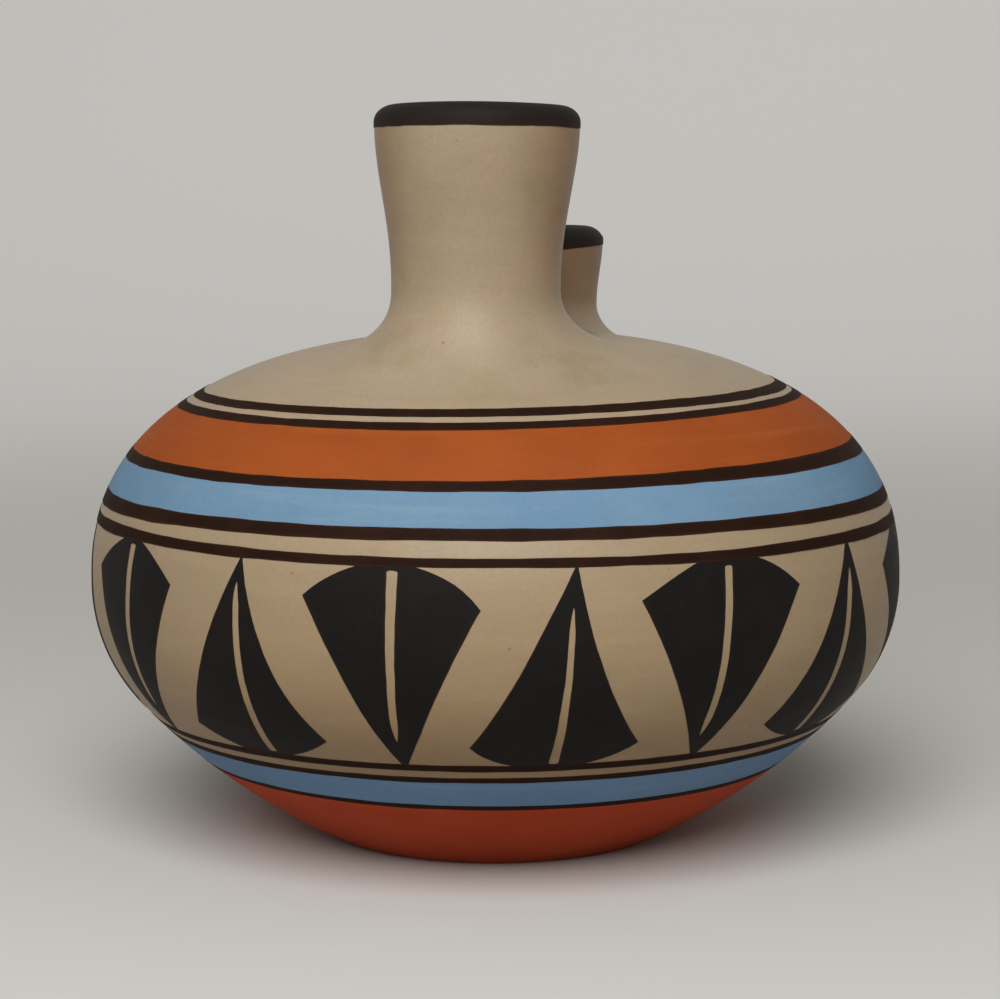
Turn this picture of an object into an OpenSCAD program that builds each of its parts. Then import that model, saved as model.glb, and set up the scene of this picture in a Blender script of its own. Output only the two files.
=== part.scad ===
// Double spout vase: a round-bellied clay pot with a tall and a short spout,
// joined to its shoulder with worked-in coils and painted with coloured slips.
// Millimetres, +Z up, origin at the centre of the foot. The tall spout is towards -Y.

/* [Pot] */
// Outside diameter of the belly at its widest level
belly_d = 200; // [180:1:230]
// Height of the widest level above the foot
belly_z = 63.5; // [58:0.5:72]
// Diameter of the flat foot
foot_d = 84; // [70:1:96]
// Rise of the shoulder dome above the widest level
dome_rise = 60.5; // [54:0.5:70]
// Fullness of the shoulder: 2 gives an ellipse, more gives a squarer shoulder
shoulder_fullness = 2.4; // [2.1:0.05:2.8]
// Radius of the turn under the belly
belly_turn_r = 41; // [34:1:48]
// Angle through which the wall turns under the belly
belly_turn = 42; // [36:1:46]
// Thickness of the pot's wall
wall_t = 6; // [4:0.5:8]
// Thickness of the floor over the foot
floor_t = 8; // [6:0.5:12]

/* [Spouts] */
// Distance of each spout's axis from the pot's axis
spout_offset = 33; // [32.5:0.5:36]
// Outside diameter of both mouths
mouth_d = 48; // [45.6:0.2:54]
// Thickness of a spout's wall
spout_wall_t = 6; // [4:0.5:7]
// Height of the tall spout's mouth above the top of the dome
tall_spout_h = 54.8; // [45:0.1:70]
// Outside diameter of the tall spout's waist
tall_waist_d = 39.8; // [36:0.2:41]
// Height of the tall spout's waist above the top of the dome
tall_waist_h = 13; // [10:0.5:18]
// Height of the short spout's mouth above the top of the dome
short_spout_h = 24.8; // [21:0.1:40]
// Outside diameter of the short spout's waist
short_waist_d = 44.8; // [41:0.2:45]
// Height of the short spout's waist above the top of the dome
short_waist_h = 5; // [3:0.5:8]

/* [Joining coils] */
// Height of the tall spout's coil above the dome, along the spout
tall_coil_h = 16; // [10:0.5:20]
// Reach of the tall spout's coil over the dome, beyond the spout
tall_coil_w = 12.5; // [8:0.5:12.5]
// Height of the short spout's coil above the dome, along the spout
short_coil_h = 8; // [6:0.5:10]
// Reach of the short spout's coil over the dome, beyond the spout
short_coil_w = 8; // [6:0.5:9]
// Fullness of both coils: 0 leaves a deep hollow curve, 0.3 nearly a straight slope
coil_fullness = 0.12; // [0:0.02:0.3]
// Thickness that is left at a coil's smoothed edges
coil_edge_t = 0.3; // [0.2:0.05:0.5]
// Clearance between a coil and what it is pressed on
coil_seat = 0.05; // [0.02:0.01:0.1]

/* [Painted bands] */
// Thickness of a coat of slip
slip_t = 0.3; // [0.2:0.05:0.5]
// Distance over the dome from the pot's axis to the first black line
first_line_reach = 73.5; // [73:0.5:80]
// Width of the black lines on the shoulder
line_w = 2.7; // [2:0.1:3.5]
// Width of the black line over the frieze
frieze_line_w = 2; // [1.5:0.1:3]
// Width of the three black lines under the frieze
lower_line_w = 2.1; // [1.5:0.1:3]
// Bare clay between the first two lines on the shoulder
pair_gap = 2.2; // [1.5:0.1:4]
// Bare clay between the first two lines under the frieze
lower_gap = 2.7; // [1.5:0.1:4]
// Width of the orange band on the shoulder
orange_w = 15; // [10:0.2:18]
// Width of the blue band on the shoulder
upper_blue_w = 8.6; // [6:0.2:12]
// Bare clay between the shoulder's bands and the frieze
frieze_gap = 3.8; // [2:0.1:6]
// Width of the frieze round the belly
frieze_w = 49; // [42:0.5:54]
// Width of the blue band under the frieze
lower_blue_w = 10.2; // [6:0.2:14]
// Bare edge between the base coat and the foot
foot_margin = 0.8; // [0.5:0.1:3]
// Depth of the black lip on the outside of a mouth
lip_outside = 5.3; // [5:0.1:12]
// Depth of the black lip on the inside of a mouth
lip_inside = 6; // [3:0.5:12]

/* [Feathers] */
// Rising feathers in the frieze, and as many hanging ones between them
feather_pairs = 8; // [6:1:9]
// Turn of the first rising feather from the tall spout's side
feather_turn = 16.6; // [0:0.1:45]
// Width of a rising feather at its shoulders
rising_w = 38.8; // [28:0.2:40]
// Distance of a rising feather's shoulders from the line under the frieze
rising_drop = 6.5; // [3:0.1:8]
// Width of a hanging feather at its shoulders
hanging_w = 40; // [28:0.2:41]
// Distance of a hanging feather's shoulders from the line over the frieze
hanging_drop = 8; // [3:0.1:9]
// Run of a feather's tip and crown under the painted lines
feather_lap = 1.6; // [0.6:0.1:2]
// Hollow of a rising feather's long sides
rising_hollow = 0.9; // [0:0.1:1.5]
// Curve of a feather's crown: 1 gives straight slopes, more gives a rounder crown
crown_curve = 1.6; // [1:0.1:2]
// Width of the bare quill slit at a feather's wide end
quill_w = 2.3; // [1.5:0.1:4]
// Stretch of slip left between the end of the quill slit and the tip
quill_end = 6; // [3:0.5:12]

/* [Hidden] */

clay = [0.66, 0.58, 0.47];
black = [0.12, 0.10, 0.09];
orange = [0.66, 0.33, 0.16];
blue = [0.47, 0.61, 0.75];
terracotta = [0.55, 0.24, 0.14];

$fn = 120;
belly_r = belly_d / 2;
foot_r = foot_d / 2;
mouth_r = mouth_d / 2;
dome_top = belly_z + dome_rise;

// Steps of the drawn curves
arc_steps = 24;
shoulder_steps = 90;
level_step = 3.6;
flare_steps = 14;
lip_steps = 6;
side_steps = 8;
coil_turns = 60;
coil_steps = 8;
probe = 0.5;

// Wall of the pot, from the foot to the top of the dome
// The turn under the belly ends where the long lower arc begins
turn_end = [
    belly_r - belly_turn_r + belly_turn_r * cos(belly_turn),
    belly_z - belly_turn_r * sin(belly_turn),
];
turn_normal = [cos(belly_turn), -sin(belly_turn)];
foot_edge = [foot_r, 0];
to_foot = foot_edge - turn_end;
// The lower arc leaves the turn without a corner and ends at the foot's edge
lower_r = -(to_foot * to_foot) / (2 * (to_foot * turn_normal));
lower_centre = turn_end - lower_r * turn_normal;
foot_angle = atan2(-lower_centre[1], foot_r - lower_centre[0]);

function arc(centre, r, from, to, steps) = [
    for (i = [0:steps])
    let (a = from + (to - from) * i / steps)
    centre + r * [cos(a), sin(a)]
];
function shoulder_point(u) = [
    belly_r * pow(cos(u), 2 / shoulder_fullness),
    belly_z + dome_rise * pow(sin(u), 2 / shoulder_fullness),
];
function without_first(list) = [for (i = [1:len(list) - 1]) list[i]];

lower_arc = arc(lower_centre, lower_r, foot_angle, -belly_turn, arc_steps);
turn_arc = arc([belly_r - belly_turn_r, belly_z], belly_turn_r, -belly_turn, 0, arc_steps);
shoulder = [for (i = [0:shoulder_steps]) shoulder_point(90 * i / shoulder_steps)];
wall = concat(lower_arc, without_first(turn_arc), without_first(shoulder));

// Distance along the wall from the foot's edge to each of its points
function step_to(i) = i < len(wall) ? norm(wall[i] - wall[i - 1]) : 0;
wall_s = [
    for (i = 0, s = 0; i < len(wall); i = i + 1, s = s + step_to(i))
    s
];
wall_len = wall_s[len(wall) - 1];
radius_table = [for (i = [0:len(wall) - 1]) [wall_s[i], wall[i][0]]];
height_table = [for (i = [0:len(wall) - 1]) [wall_s[i], wall[i][1]]];

function wall_point(s) = [lookup(s, radius_table), lookup(s, height_table)];
function unit(v) = v / norm(v);
function outward(v) = [v[1], -v[0]];
function wall_normal(s) = outward(unit(wall_point(s + probe) - wall_point(s - probe)));
function dome_z(x, y) =
    belly_z + dome_rise * pow(1 - pow(norm([x, y]) / belly_r, shoulder_fullness), 1 / shoulder_fullness);

// Edges of the painted bands, as distances along the wall from the foot
upper_line_top = wall_len - first_line_reach;
upper_line_foot = upper_line_top - line_w;
second_line_top = upper_line_foot - pair_gap;
orange_top = second_line_top - line_w;
orange_foot = orange_top - orange_w;
blue_top = orange_foot - line_w;
blue_foot = blue_top - upper_blue_w;
blue_line_foot = blue_foot - line_w;
frieze_line_top = blue_line_foot - frieze_gap;
frieze_top = frieze_line_top - frieze_line_w;
frieze_foot = frieze_top - frieze_w;
frieze_line_foot = frieze_foot - lower_line_w;
lower_line_top = frieze_line_foot - lower_gap;
lower_blue_top = lower_line_top - lower_line_w;
lower_blue_foot = lower_blue_top - lower_blue_w;
base_coat_top = lower_blue_foot - lower_line_w;

// Levels at which the wall is drawn: every band's edge, and even steps between them
edges = [
    0, foot_margin, base_coat_top, lower_blue_foot, lower_blue_top, lower_line_top, frieze_line_foot,
    frieze_foot, frieze_top, frieze_line_top, blue_line_foot, blue_foot, blue_top, orange_foot,
    orange_top, second_line_top, upper_line_foot, upper_line_top, wall_len,
];
function level_count(from, to) = max(1, ceil((to - from) / level_step));
levels = concat(
    [
        for (k = [0:len(edges) - 2])
        let (count = level_count(edges[k], edges[k + 1]))
        for (i = [0:count - 1])
        edges[k] + (edges[k + 1] - edges[k]) * i / count
    ],
    [wall_len]
);
hair = 0.001;
function levels_between(from, to) = [for (s = levels) if (s > from - hair && s < to + hair) s];

// Outline of a spout, from the pot up the outside, over the lip and down the inside
lip_round = 0.7 * spout_wall_t;
lip_inner_round = spout_wall_t - lip_round;
tall_top = dome_top + tall_spout_h;
short_top = dome_top + short_spout_h;

function ease(t) = t * t * (3 - 2 * t);
function share(z, from, to) = min(1, max(0, (z - from) / (to - from)));
function spout_r(z, waist_d, waist_h, top) =
    waist_d / 2 + (mouth_r - waist_d / 2) * ease(share(z, dome_top + waist_h, top - lip_round));
function lip_outline(waist_d, waist_h, top) = concat(
    [
        for (i = [0:lip_steps - 1])
        let (z = top - lip_outside + (lip_outside - lip_round) * i / lip_steps)
        [spout_r(z, waist_d, waist_h, top), z]
    ],
    arc([mouth_r - lip_round, top - lip_round], lip_round, 0, 90, lip_steps),
    without_first(arc([mouth_r - lip_round, top - lip_inner_round], lip_inner_round, 90, 180, lip_steps)),
    [
        for (i = [1:lip_steps])
        let (z = top - lip_inner_round - (lip_inside - lip_inner_round) * i / lip_steps)
        [spout_r(z, waist_d, waist_h, top) - spout_wall_t, z]
    ]
);
function spout_outline(waist_d, waist_h, top) =
    let (waist_z = dome_top + waist_h)
    let (out_rise = top - lip_outside - waist_z)
    let (in_rise = top - lip_inside - waist_z)
    concat(
        [[waist_d / 2, belly_z]],
        [
            for (i = [0:flare_steps - 1])
            let (z = waist_z + out_rise * i / flare_steps)
            [spout_r(z, waist_d, waist_h, top), z]
        ],
        lip_outline(waist_d, waist_h, top),
        [
            for (i = [1:flare_steps])
            let (z = top - lip_inside - in_rise * i / flare_steps)
            [spout_r(z, waist_d, waist_h, top) - spout_wall_t, z]
        ],
        [[waist_d / 2 - spout_wall_t, belly_z]]
    );

// The solid that the pot's outer surface encloses
module pot_outer() {
    rotate_extrude()
        polygon(concat([[0, 0]], [for (s = levels) wall_point(s)]));
}

// The hollow of the pot, one wall's thickness inside its outer surface
module pot_hollow() {
    inner = [for (s = levels) wall_point(s) - wall_t * wall_normal(s)];
    above = [for (p = inner) if (p[1] > floor_t + probe && p[0] > probe) p];
    floor_edge = lookup(floor_t, [for (p = inner) [p[1], p[0]]]);
    rotate_extrude()
        polygon(concat([[0, floor_t], [floor_edge, floor_t]], above, [[0, dome_top - wall_t]]));
}

// Everything below the seam at the widest level, where the bowl and the dome are joined
module below_seam() {
    cylinder(d = 2 * belly_d, h = belly_z);
}

module at_spout(side) {
    translate([0, side * spout_offset, 0])
        children();
}

// The hole in the dome that takes a spout's foot
module spout_hole(waist_d, side) {
    at_spout(side)
        translate([0, 0, belly_z])
            cylinder(d = waist_d, h = 2 * dome_rise);
}

// A spout's foot goes through the dome and is cut off level with the dome's inside
module spout(waist_d, waist_h, top, side) {
    difference() {
        at_spout(side)
            rotate_extrude()
                polygon(spout_outline(waist_d, waist_h, top));
        pot_hollow();
    }
}

function bezier(a, b, c, t) = (1 - t) * (1 - t) * a + 2 * t * (1 - t) * b + t * t * c;

// Section of a joining coil at one angle round its spout, as [distance from the spout's axis, height]
function coil_section(angle, waist_d, waist_h, top, side, h, w) =
    let (grow = 1 / cos(180 / coil_turns))
    let (dome = function (r) dome_z(r * cos(angle), side * spout_offset + r * sin(angle)) + coil_seat)
    let (wall_r = function (z) spout_r(z, waist_d, waist_h, top) * grow + coil_seat)
    let (foot_z = dome(waist_d / 2))
    let (foot = [wall_r(foot_z), foot_z])
    let (crest = [wall_r(foot_z + h), foot_z + h])
    let (toe_r = waist_d / 2 + w)
    let (toe = [toe_r, dome(toe_r)])
    let (out = [coil_edge_t, 0], up = [0, coil_edge_t])
    let (pull = foot + out + up + coil_fullness * [w, h])
    concat(
        [for (i = [0:coil_steps]) bezier(crest + out, pull, toe + up, i / coil_steps)],
        [for (i = [0:3]) let (r = toe[0] + (foot[0] - toe[0]) * i / 3) [r, dome(r)]],
        [crest]
    );

// A coil of clay worked into the corner between a spout and the dome, lofted round the spout
module coil(waist_d, waist_h, top, side, h, w) {
    sections = [
        for (k = [0:coil_turns - 1])
        let (angle = 360 * k / coil_turns)
        [
            for (p = coil_section(angle, waist_d, waist_h, top, side, h, w))
            [p[0] * cos(angle), side * spout_offset + p[0] * sin(angle), p[1]]
        ]
    ];
    count = len(sections[0]);
    polyhedron(
        points = [for (ring = sections) for (p = ring) p],
        faces = [
            for (k = [0:coil_turns - 1])
            for (i = [0:count - 1])
            let (here = k * count, next = (k + 1) % coil_turns * count, j = (i + 1) % count)
            for (face = [[here + i, next + i, here + j], [next + i, next + j, here + j]])
            face
        ]
    );
}

// Coat of slip that follows an outline at the slip's thickness
module coat(outline) {
    last = len(outline) - 1;
    normals = [
        for (i = [0:last])
        outward(unit(outline[min(last, i + 1)] - outline[max(0, i - 1)]))
    ];
    rotate_extrude()
        polygon(concat(outline, [for (i = [last:-1:0]) outline[i] + slip_t * normals[i]]));
}

// Coat of slip round the pot between two distances along its wall
module band(from, to) {
    inside = levels_between(from, to);
    rotate_extrude()
        polygon(concat(
            [for (s = inside) wall_point(s)],
            [for (i = [len(inside) - 1:-1:0]) wall_point(inside[i]) + slip_t * wall_normal(inside[i])]
        ));
}

// Half outline of a feather, as [distance from its quill, distance from the line at its wide end]
function feather_side(width, drop, hollow) =
    let (reach = frieze_w + feather_lap - drop)
    [
        for (i = [0:side_steps])
        let (t = i / side_steps)
        [width / 2 * t - 4 * hollow * t * (1 - t), drop + reach * (1 - t)]
    ];
// The crown runs from the feather's shoulder to its quill and passes under the line on the way
function feather_crown(width, drop) = [
    for (i = [1:side_steps])
    let (x = width / 2 + (quill_w - width) / 2 * i / side_steps)
    [x, (drop + feather_lap) * pow(2 * x / width, crown_curve) - feather_lap]
];
function feather_half(width, drop, hollow) =
    concat(feather_side(width, drop, hollow), feather_crown(width, drop));

// One feather seen from the front, with its quill slit open at the wide end
module feather_shape(width, drop, rising) {
    half = feather_half(width, drop, rising ? rising_hollow : 0);
    slit_end = [0, frieze_w - quill_end];
    outline = concat(
        half,
        [slit_end],
        [for (i = [len(half) - 1:-1:1]) [-half[i][0], half[i][1]]]
    );
    polygon([
        for (p = outline)
        [p[0], lookup(rising ? frieze_foot + p[1] : frieze_top - p[1], height_table)]
    ]);
}

// Feathers round the frieze, each drawn flat and carried straight in to the pot's wall
module feathers(width, drop, rising) {
    pitch = 360 / feather_pairs;
    start = feather_turn + (rising ? 0 : pitch / 2);
    clear_r = width / 2 / tan(pitch / 2) + probe;
    intersection() {
        band(frieze_foot, frieze_top);
        for (k = [0:feather_pairs - 1])
            rotate([90, 0, start + pitch * k])
                translate([0, 0, clear_r])
                    linear_extrude(belly_r)
                        feather_shape(width, drop, rising);
    }
}

module pot_bowl() color(clay) {
    difference() {
        intersection() {
            pot_outer();
            below_seam();
        }
        pot_hollow();
    }
}

module pot_dome() color(clay) {
    difference() {
        pot_outer();
        below_seam();
        pot_hollow();
        spout_hole(tall_waist_d, -1);
        spout_hole(short_waist_d, 1);
    }
}

module tall_spout() color(clay) spout(tall_waist_d, tall_waist_h, tall_top, -1);
module short_spout() color(clay) spout(short_waist_d, short_waist_h, short_top, 1);

module tall_spout_coil() color(clay)
    coil(tall_waist_d, tall_waist_h, tall_top, -1, tall_coil_h, tall_coil_w);
module short_spout_coil() color(clay)
    coil(short_waist_d, short_waist_h, short_top, 1, short_coil_h, short_coil_w);

module tall_lip_slip() color(black)
    at_spout(-1) coat(lip_outline(tall_waist_d, tall_waist_h, tall_top));
module short_lip_slip() color(black)
    at_spout(1) coat(lip_outline(short_waist_d, short_waist_h, short_top));

module shoulder_line_upper() color(black) band(upper_line_foot, upper_line_top);
module shoulder_line_lower() color(black) band(orange_top, second_line_top);
module shoulder_orange_band() color(orange) band(orange_foot, orange_top);
module orange_blue_line() color(black) band(blue_top, orange_foot);
module shoulder_blue_band() color(blue) band(blue_foot, blue_top);
module shoulder_blue_line() color(black) band(blue_line_foot, blue_foot);
module frieze_top_line() color(black) band(frieze_top, frieze_line_top);
module rising_feathers() color(black) feathers(rising_w, rising_drop, true);
module hanging_feathers() color(black) feathers(hanging_w, hanging_drop, false);
module frieze_bottom_line() color(black) band(frieze_line_foot, frieze_foot);
module lower_line() color(black) band(lower_blue_top, lower_line_top);
module lower_blue_band() color(blue) band(lower_blue_foot, lower_blue_top);
module lower_blue_line() color(black) band(base_coat_top, lower_blue_foot);
module base_coat() color(terracotta) band(foot_margin, base_coat_top);

pot_bowl();
pot_dome();
tall_spout();
short_spout();
tall_spout_coil();
short_spout_coil();
tall_lip_slip();
short_lip_slip();
shoulder_line_upper();
shoulder_line_lower();
shoulder_orange_band();
orange_blue_line();
shoulder_blue_band();
shoulder_blue_line();
frieze_top_line();
rising_feathers();
hanging_feathers();
frieze_bottom_line();
lower_line();
lower_blue_band();
lower_blue_line();
base_coat();
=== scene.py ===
"""Double spout vase: thrown clay pieces, coats of slip and a plain studio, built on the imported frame."""

import bisect
import math

import bmesh
import bpy
from mathutils import Matrix, Vector


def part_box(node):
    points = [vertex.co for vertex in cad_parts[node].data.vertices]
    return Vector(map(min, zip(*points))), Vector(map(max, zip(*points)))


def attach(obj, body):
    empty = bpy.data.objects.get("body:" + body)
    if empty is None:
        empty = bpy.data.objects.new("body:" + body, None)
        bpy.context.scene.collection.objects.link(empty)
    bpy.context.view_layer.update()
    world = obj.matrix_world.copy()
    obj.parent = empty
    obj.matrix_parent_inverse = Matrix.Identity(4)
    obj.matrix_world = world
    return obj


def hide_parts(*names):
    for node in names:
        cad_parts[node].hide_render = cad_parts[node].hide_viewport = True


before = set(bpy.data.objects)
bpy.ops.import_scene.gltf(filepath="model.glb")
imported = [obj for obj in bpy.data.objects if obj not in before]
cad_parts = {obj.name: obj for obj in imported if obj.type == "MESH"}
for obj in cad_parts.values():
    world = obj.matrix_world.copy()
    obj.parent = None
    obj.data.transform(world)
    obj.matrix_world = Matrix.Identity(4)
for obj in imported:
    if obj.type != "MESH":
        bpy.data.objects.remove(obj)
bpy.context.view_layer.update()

MM = 0.001

# How finely the meshes are drawn: sides round each shape, and the longest row along its profile
pot_sides = 256
hollow_sides = 128
hole_sides = 96
spout_sides = 128
coil_sides = 144
band_sides = 288
lip_sides = 160
pot_row = 1.4 * MM
hollow_row = 3 * MM
spout_row = 1 * MM
throat_row = 1.5 * MM
band_row = 1.3 * MM
weld = 0.002 * MM

# Sizes of the pot, in metres. The outer ones come from the frame
belly_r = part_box("pot_dome")[1].x
dome_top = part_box("pot_dome")[1].z
belly_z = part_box("pot_bowl")[1].z
foot_r = 42 * MM
dome_rise = dome_top - belly_z
shoulder_fullness = 2.4
belly_turn_r = 41 * MM
belly_turn = math.radians(42)
wall_t = 6 * MM
floor_t = 8 * MM
foot_round = 0.8 * MM

# The two spouts and the coils of clay round their feet. A coil has its height up the spout, its width over
# the dome and how far it keeps to each of them, at the front and back of the spout and at its sides
mouth_r = (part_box("tall_spout")[1].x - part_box("tall_spout")[0].x) / 2
spout_wall_t = 6 * MM
lip_round_h = 3.9 * MM
lip_round_w = 4.9 * MM
lip_inner_h = 1.8 * MM
lip_inner_w = spout_wall_t - lip_round_w
lip_even = 8 * MM
lip_fade = 20 * MM
flare_bend = 1.08
spout_offset = 33 * MM
hole_lap = 1 * MM
short_lip_rise = 0.35 * MM
TALL = {
    "name": "tall_spout",
    "y": -spout_offset,
    "top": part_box("tall_spout")[1].z,
    "bottom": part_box("tall_spout")[0].z,
    "waist_r": 19.9 * MM,
    "waist_z": dome_top + 13 * MM,
    "coil_front": (19 * MM, 14 * MM, 0.5, 0.5),
    "coil_side": (14 * MM, 22 * MM, 0.75, 0.45),
    "lip_depth": 5.3 * MM,
    "lip_tilt": 0.0,
    "lip_sink": (0.24 * MM, 0.35 * MM),
    "lean": 0.016,
    "upright_z": dome_top + 34 * MM,
    "shift": 0.0,
}
SHORT = {
    "name": "short_spout",
    "y": spout_offset,
    "top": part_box("short_spout")[1].z + short_lip_rise,
    "bottom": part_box("short_spout")[0].z,
    "waist_r": 22.4 * MM,
    "waist_z": dome_top + 5 * MM,
    "coil_front": (8 * MM, 8 * MM, 0.5, 0.5),
    "coil_side": (8 * MM, 8 * MM, 0.5, 0.5),
    "lip_depth": 6.85 * MM,
    "lip_tilt": 2.4 * MM,
    "lip_sink": (0.0, 0.0),
    "lean": 0.0,
    "upright_z": dome_top,
    "shift": 0.6 * MM,
}

# Widths of the painted bands, measured along the wall from the first line down
first_line_reach = 73.15 * MM
first_line_w = 3.05 * MM
line_w = 2.7 * MM
frieze_line_w = 2 * MM
frieze_foot_w = 2.25 * MM
lower_line_w = 1.95 * MM
pair_gap = 2.2 * MM
lower_gap = 2.7 * MM
orange_w = 15 * MM
upper_blue_w = 8.6 * MM
frieze_gap = 3.8 * MM
frieze_w = 48.85 * MM
lower_blue_w = 10.35 * MM
foot_margin = 0.8 * MM
lip_inside = 6 * MM

# How the slip lies: colour first, then the feathers, then the lines over both
coat_t = 0.07 * MM
feather_t = 0.09 * MM
line_t = 0.12 * MM
sunk = 0.15 * MM
under_line = 1.1 * MM

# How far the brush strays: a line wanders as a whole and swells at its edges. On a lip the middle share of
# the coat keeps still
line_wander = 0.6 * MM
line_swell = 0.6 * MM
line_seed_step = 3.7
lip_wander = 0.5 * MM
lip_swell = 0.3 * MM
lip_still = 0.4
feather_tremor = 0.5 * MM

# The feathers of the frieze, the first one's turn in degrees. Their sides are hollow to the left and the
# right of the quill by these depths. The quill swings out to its drift over a share of the length
feather_pairs = 8
first_turn = 16.6
feather_rows = 128
feather_columns = 10
quill_swing = 0.15
crown_lap = 1.2 * MM
slit_point = 5 * MM
slit_round = 0.35 * MM
slit_end_parts = (1.0, 0.5, 0.2, 0.05, -0.03)
slit_opening = 0.6
slit_closing = 0.25
RISING = {
    "name": "rising_feathers",
    "width": 38.8 * MM,
    "drop": 6.5 * MM,
    "crown_curve": 1.9,
    "tip_lap": 0.8 * MM,
    "hollow": (-0.3 * MM, 2.2 * MM),
    "seed": 2.0,
}
HANGING = {
    "name": "hanging_feathers",
    "width": 40 * MM,
    "drop": 8 * MM,
    "crown_curve": 1.6,
    "tip_lap": 1.9 * MM,
    "hollow": (0.0, 0.0),
    "seed": 5.0,
}


# Node trees written as expressions

class Value:
    """A socket of a node tree. Arithmetic on it adds Math nodes to that tree."""

    def __init__(self, tree, socket):
        self.tree = tree
        self.socket = socket

    def math(self, operation, first, second=0.0):
        return self.tree.node("ShaderNodeMath", {"operation": operation}, {0: first, 1: second})

    def __add__(self, other):
        return self.math("ADD", self, other)

    def __radd__(self, other):
        return self.math("ADD", other, self)

    def __sub__(self, other):
        return self.math("SUBTRACT", self, other)

    def __rsub__(self, other):
        return self.math("SUBTRACT", other, self)

    def __mul__(self, other):
        return self.math("MULTIPLY", self, other)

    def __rmul__(self, other):
        return self.math("MULTIPLY", other, self)

    def __truediv__(self, other):
        return self.math("DIVIDE", self, other)

    def __rtruediv__(self, other):
        return self.math("DIVIDE", other, self)

    def __pow__(self, other):
        return self.math("POWER", self, other)

    def __rpow__(self, other):
        return self.math("POWER", other, self)

    def __abs__(self):
        return self.math("ABSOLUTE", self)

    def sin(self):
        return self.math("SINE", self)

    def cos(self):
        return self.math("COSINE", self)

    def asin(self):
        return self.math("ARCSINE", self)

    def rounded(self):
        return self.math("ROUND", self)

    def parts(self):
        """X, Y and Z of a vector."""
        return [self.tree.node("ShaderNodeSeparateXYZ", {}, {0: self}, out=i) for i in range(3)]


class Tree:
    """A shader or geometry tree. node() adds any node: type, settings first, then values or links."""

    def __init__(self, nodes):
        self.nodes = nodes

    def node(self, kind, settings=None, sockets=None, out=0):
        made = self.nodes.nodes.new(kind)
        for name, value in (settings or {}).items():
            setattr(made, name, value)
        for key, value in (sockets or {}).items():
            self.feed(made.inputs[key], value)
        return Value(self, made.outputs[out]) if made.outputs else made

    def feed(self, socket, value):
        if isinstance(value, Value):
            self.nodes.links.new(value.socket, socket)
        else:
            socket.default_value = value

    def vector(self, x, y, z):
        return self.node("ShaderNodeCombineXYZ", {}, {0: x, 1: y, 2: z})

    def noise(self, place, scale=1.0, detail=2.0, roughness=0.5):
        """Soft noise from 0 to 1 round 0.5."""
        values = {"Vector": place, "Scale": scale, "Detail": detail, "Roughness": roughness}
        return self.node("ShaderNodeTexNoise", {}, values)

    def step(self, value, low, high):
        """0 below low, 1 above high, smooth between."""
        settings = {"interpolation_type": "SMOOTHSTEP"}
        return self.node("ShaderNodeMapRange", settings, {"Value": value, 1: low, 2: high, 3: 0.0, 4: 1.0})


class Shaping(Tree):
    """A geometry tree with named inputs."""

    def __init__(self, name):
        super().__init__(bpy.data.node_groups.new(name, "GeometryNodeTree"))
        self.nodes.interface.new_socket("Geometry", in_out="INPUT", socket_type="NodeSocketGeometry")
        self.nodes.interface.new_socket("Geometry", in_out="OUTPUT", socket_type="NodeSocketGeometry")
        self.source = self.nodes.nodes.new("NodeGroupInput")

    def given(self, name, kind):
        """A named input of the tree: Float, Int, Object or Material."""
        self.nodes.interface.new_socket(name, in_out="INPUT", socket_type="NodeSocket" + kind)
        return Value(self, self.source.outputs[name])

    def shape(self):
        return Value(self, self.source.outputs["Geometry"])

    def from_object(self, thing):
        return self.node("GeometryNodeObjectInfo", {}, {"Object": thing}, out="Geometry")

    def attribute(self, name, kind="FLOAT"):
        return self.node("GeometryNodeInputNamedAttribute", {"data_type": kind}, {"Name": name})

    def sample(self, shape, value, index, kind="FLOAT"):
        settings = {"data_type": kind, "domain": "POINT"}
        values = {"Geometry": shape, "Value": value, "Index": index}
        return self.node("GeometryNodeSampleIndex", settings, values)

    def place(self):
        return self.node("GeometryNodeInputPosition")

    def put(self, shape, position):
        return self.node("GeometryNodeSetPosition", {}, {"Geometry": shape, "Position": position})

    def merged(self, shape):
        return self.node("GeometryNodeMergeByDistance", {}, {"Geometry": shape, "Distance": weld})

    def end(self, shape):
        """Smooth, realized and painted: the end of every tree."""
        shape = self.node("GeometryNodeSetShadeSmooth", {}, {"Geometry": shape})
        shape = self.node("GeometryNodeRealizeInstances", {}, {"Geometry": shape})
        finish = self.given("Finish", "Material")
        shape = self.node("GeometryNodeSetMaterial", {}, {"Geometry": shape, "Material": finish})
        last = self.nodes.nodes.new("NodeGroupOutput")
        self.feed(last.inputs["Geometry"], shape)
        return self.nodes


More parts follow.
